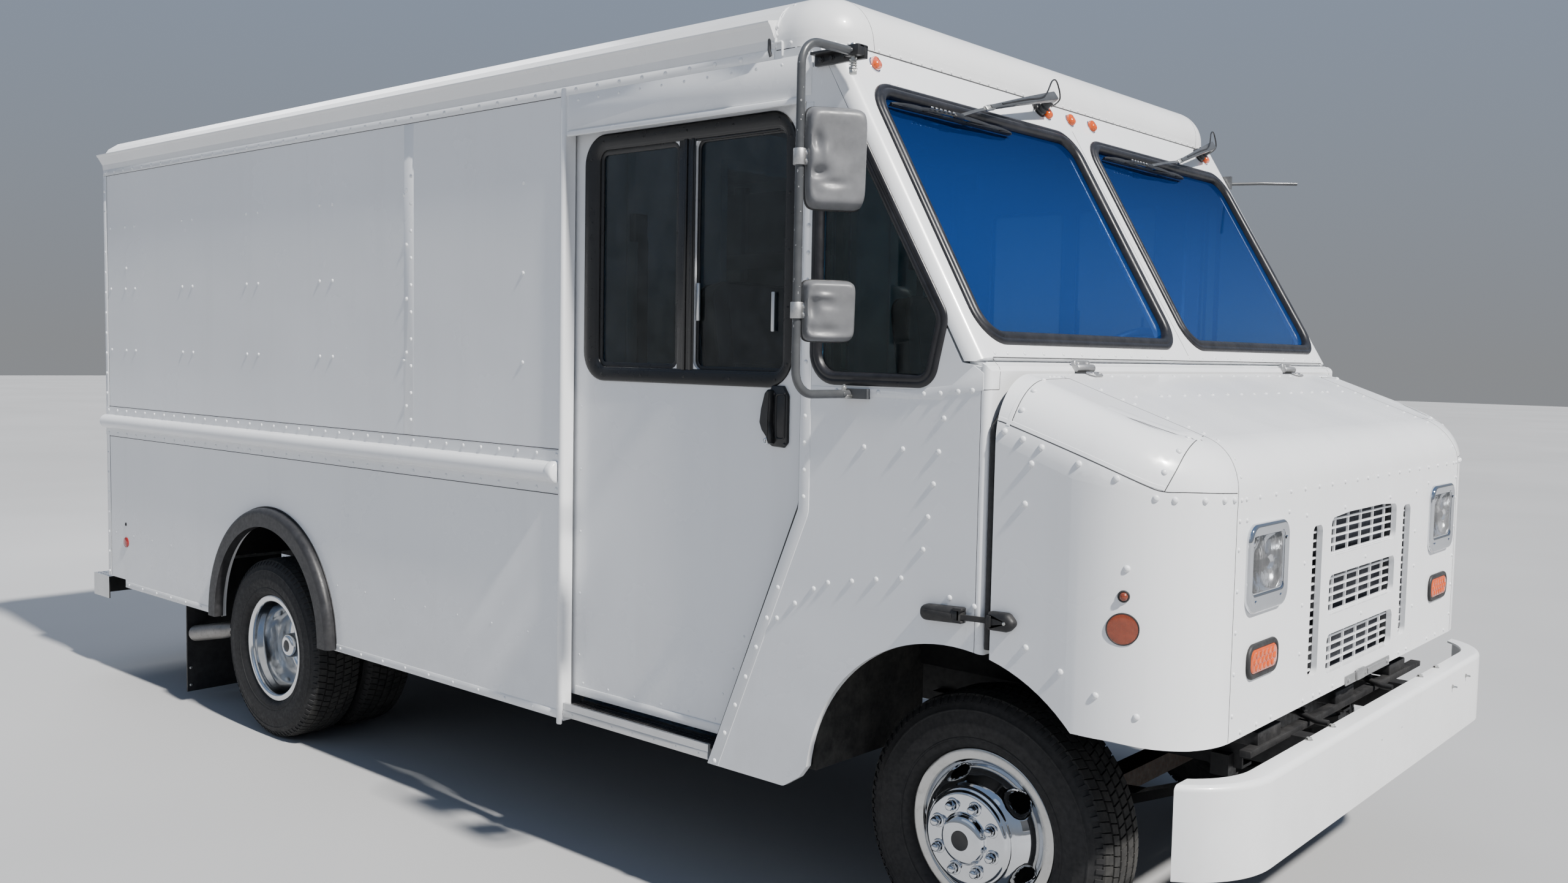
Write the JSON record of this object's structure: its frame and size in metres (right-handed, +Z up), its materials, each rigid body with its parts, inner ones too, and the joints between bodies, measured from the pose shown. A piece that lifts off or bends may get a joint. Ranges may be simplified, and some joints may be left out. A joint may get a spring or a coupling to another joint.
{
  "type": "walk-in step van",
  "caption": "Walk-in step van: riveted aluminium box body with sliding cab doors, swing rear doors, tilting nose, twin rear wheels and an open load space.",
  "frame": {"origin": "on the ground under the middle of the bounding box", "axes": "+X forward, +Y to the van's left, +Z up"},
  "size_m": [5.824, 2.8086, 2.598],
  "materials": {
    "white_paint": "gloss",
    "black_steel": "satin",
    "bare_aluminium": "satin",
    "tyre_black": "matte",
    "chrome_plate": "polished",
    "clear_glass": "gloss",
    "black_rubber": "satin",
    "dark_plastic": "matte",
    "grey_tube": "satin",
    "galvanised": "satin",
    "seat_vinyl": "satin",
    "iron": "matte",
    "radiator_black": "matte"
  },
  "bodies": {
    "van_body": {"right_side_wall": "white_paint", "left_side_wall": "white_paint", "right_cab_side": "white_paint", "left_cab_side": "white_paint", "rub_rails": "white_paint", "roof": "white_paint", "roof_front_cap": "white_paint", "rear_frame": "white_paint", "windshield_frame": "white_paint", "cowl": "white_paint", "front_bumper": "white_paint", "ladder_frame": "black_steel", "leaf_springs": "black_steel", "front_axle": "black_steel", "rear_axle": "black_steel", "seat_bases": "black_steel", "door_sills": "bare_aluminium", "cargo_floor": "bare_aluminium", "cab_floor": "bare_aluminium", "bulkhead": "bare_aluminium", "fuel_tank": "bare_aluminium", "cab_glass": "clear_glass", "rear_flares": "black_rubber", "dashboard": "dark_plastic", "steering_wheel": "dark_plastic", "engine_cover": "dark_plastic", "mirror_arms": "grey_tube", "mirror_heads": "grey_tube", "rear_bumper": "galvanised", "exhaust": "galvanised", "seat_cushions": "seat_vinyl", "engine": "iron", "radiator": "radiator_black"},
    "nose": {"hood": "white_paint", "nose_sides": "white_paint", "fascia": "white_paint", "grille": "dark_plastic", "headlights": "chrome_plate"},
    "right_cab_door": {"right_cab_door": "white_paint", "right_cab_door_glass": "clear_glass"},
    "right_rear_door": {"right_rear_door": "white_paint", "right_rear_door_glass": "clear_glass"},
    "right_knuckle": {"right_knuckle": "black_steel"},
    "right_front_wheel": {"right_front_wheel": "chrome_plate", "right_front_tyre": "tyre_black"},
    "right_rear_wheels": {"right_rear_wheels": "chrome_plate", "right_rear_tyres": "tyre_black"},
    "left_cab_door": {"left_cab_door": "white_paint", "left_cab_door_glass": "clear_glass"},
    "left_rear_door": {"left_rear_door": "white_paint", "left_rear_door_glass": "clear_glass"},
    "left_knuckle": {"left_knuckle": "black_steel"},
    "left_front_wheel": {"left_front_wheel": "chrome_plate", "left_front_tyre": "tyre_black"},
    "left_rear_wheels": {"left_rear_wheels": "chrome_plate", "left_rear_tyres": "tyre_black"}
  },
  "joints": [
    {"name": "nose_tilt", "type": "hinge", "parent": "van_body", "child": "nose", "pos_m": [2.297, 0, 1.606], "axis": [0, -1, 0], "range_deg": [0, 60]},
    {"name": "right_cab_door_slide", "type": "slide", "parent": "van_body", "child": "right_cab_door", "axis": [-1, 0, 0], "range_m": [0, 0.75]},
    {"name": "right_rear_door_hinge", "type": "hinge", "parent": "van_body", "child": "right_rear_door", "pos_m": [-2.741, -0.761, 1.5], "axis": [0, 0, 1], "range_deg": [0, 165]},
    {"name": "right_steer", "type": "hinge", "parent": "van_body", "child": "right_knuckle", "pos_m": [2.156, -0.76, 0.371], "axis": [0, 0, 1], "range_deg": [-35, 35]},
    {"name": "right_front_wheel_spin", "type": "hinge", "parent": "right_knuckle", "child": "right_front_wheel", "pos_m": [2.156, -0.832, 0.371], "axis": [0, 1, 0], "continuous": true},
    {"name": "right_rear_wheels_spin", "type": "hinge", "parent": "van_body", "child": "right_rear_wheels", "pos_m": [-1.135, -0.9435, 0.371], "axis": [0, 1, 0], "continuous": true},
    {"name": "left_cab_door_slide", "type": "slide", "parent": "van_body", "child": "left_cab_door", "axis": [-1, 0, 0], "range_m": [0, 0.75]},
    {"name": "left_rear_door_hinge", "type": "hinge", "parent": "van_body", "child": "left_rear_door", "pos_m": [-2.741, 0.761, 1.5], "axis": [0, 0, -1], "range_deg": [0, 165]},
    {"name": "left_steer", "type": "hinge", "parent": "van_body", "child": "left_knuckle", "pos_m": [2.156, 0.76, 0.371], "axis": [0, 0, 1], "range_deg": [-35, 35]},
    {"name": "left_front_wheel_spin", "type": "hinge", "parent": "left_knuckle", "child": "left_front_wheel", "pos_m": [2.156, 0.832, 0.371], "axis": [0, 1, 0], "continuous": true},
    {"name": "left_rear_wheels_spin", "type": "hinge", "parent": "van_body", "child": "left_rear_wheels", "pos_m": [-1.135, 0.9435, 0.371], "axis": [0, 1, 0], "continuous": true}
  ],
  "couplings": [
    {"joint": "left_steer", "follows": "right_steer", "ratio": 1}
  ]
}
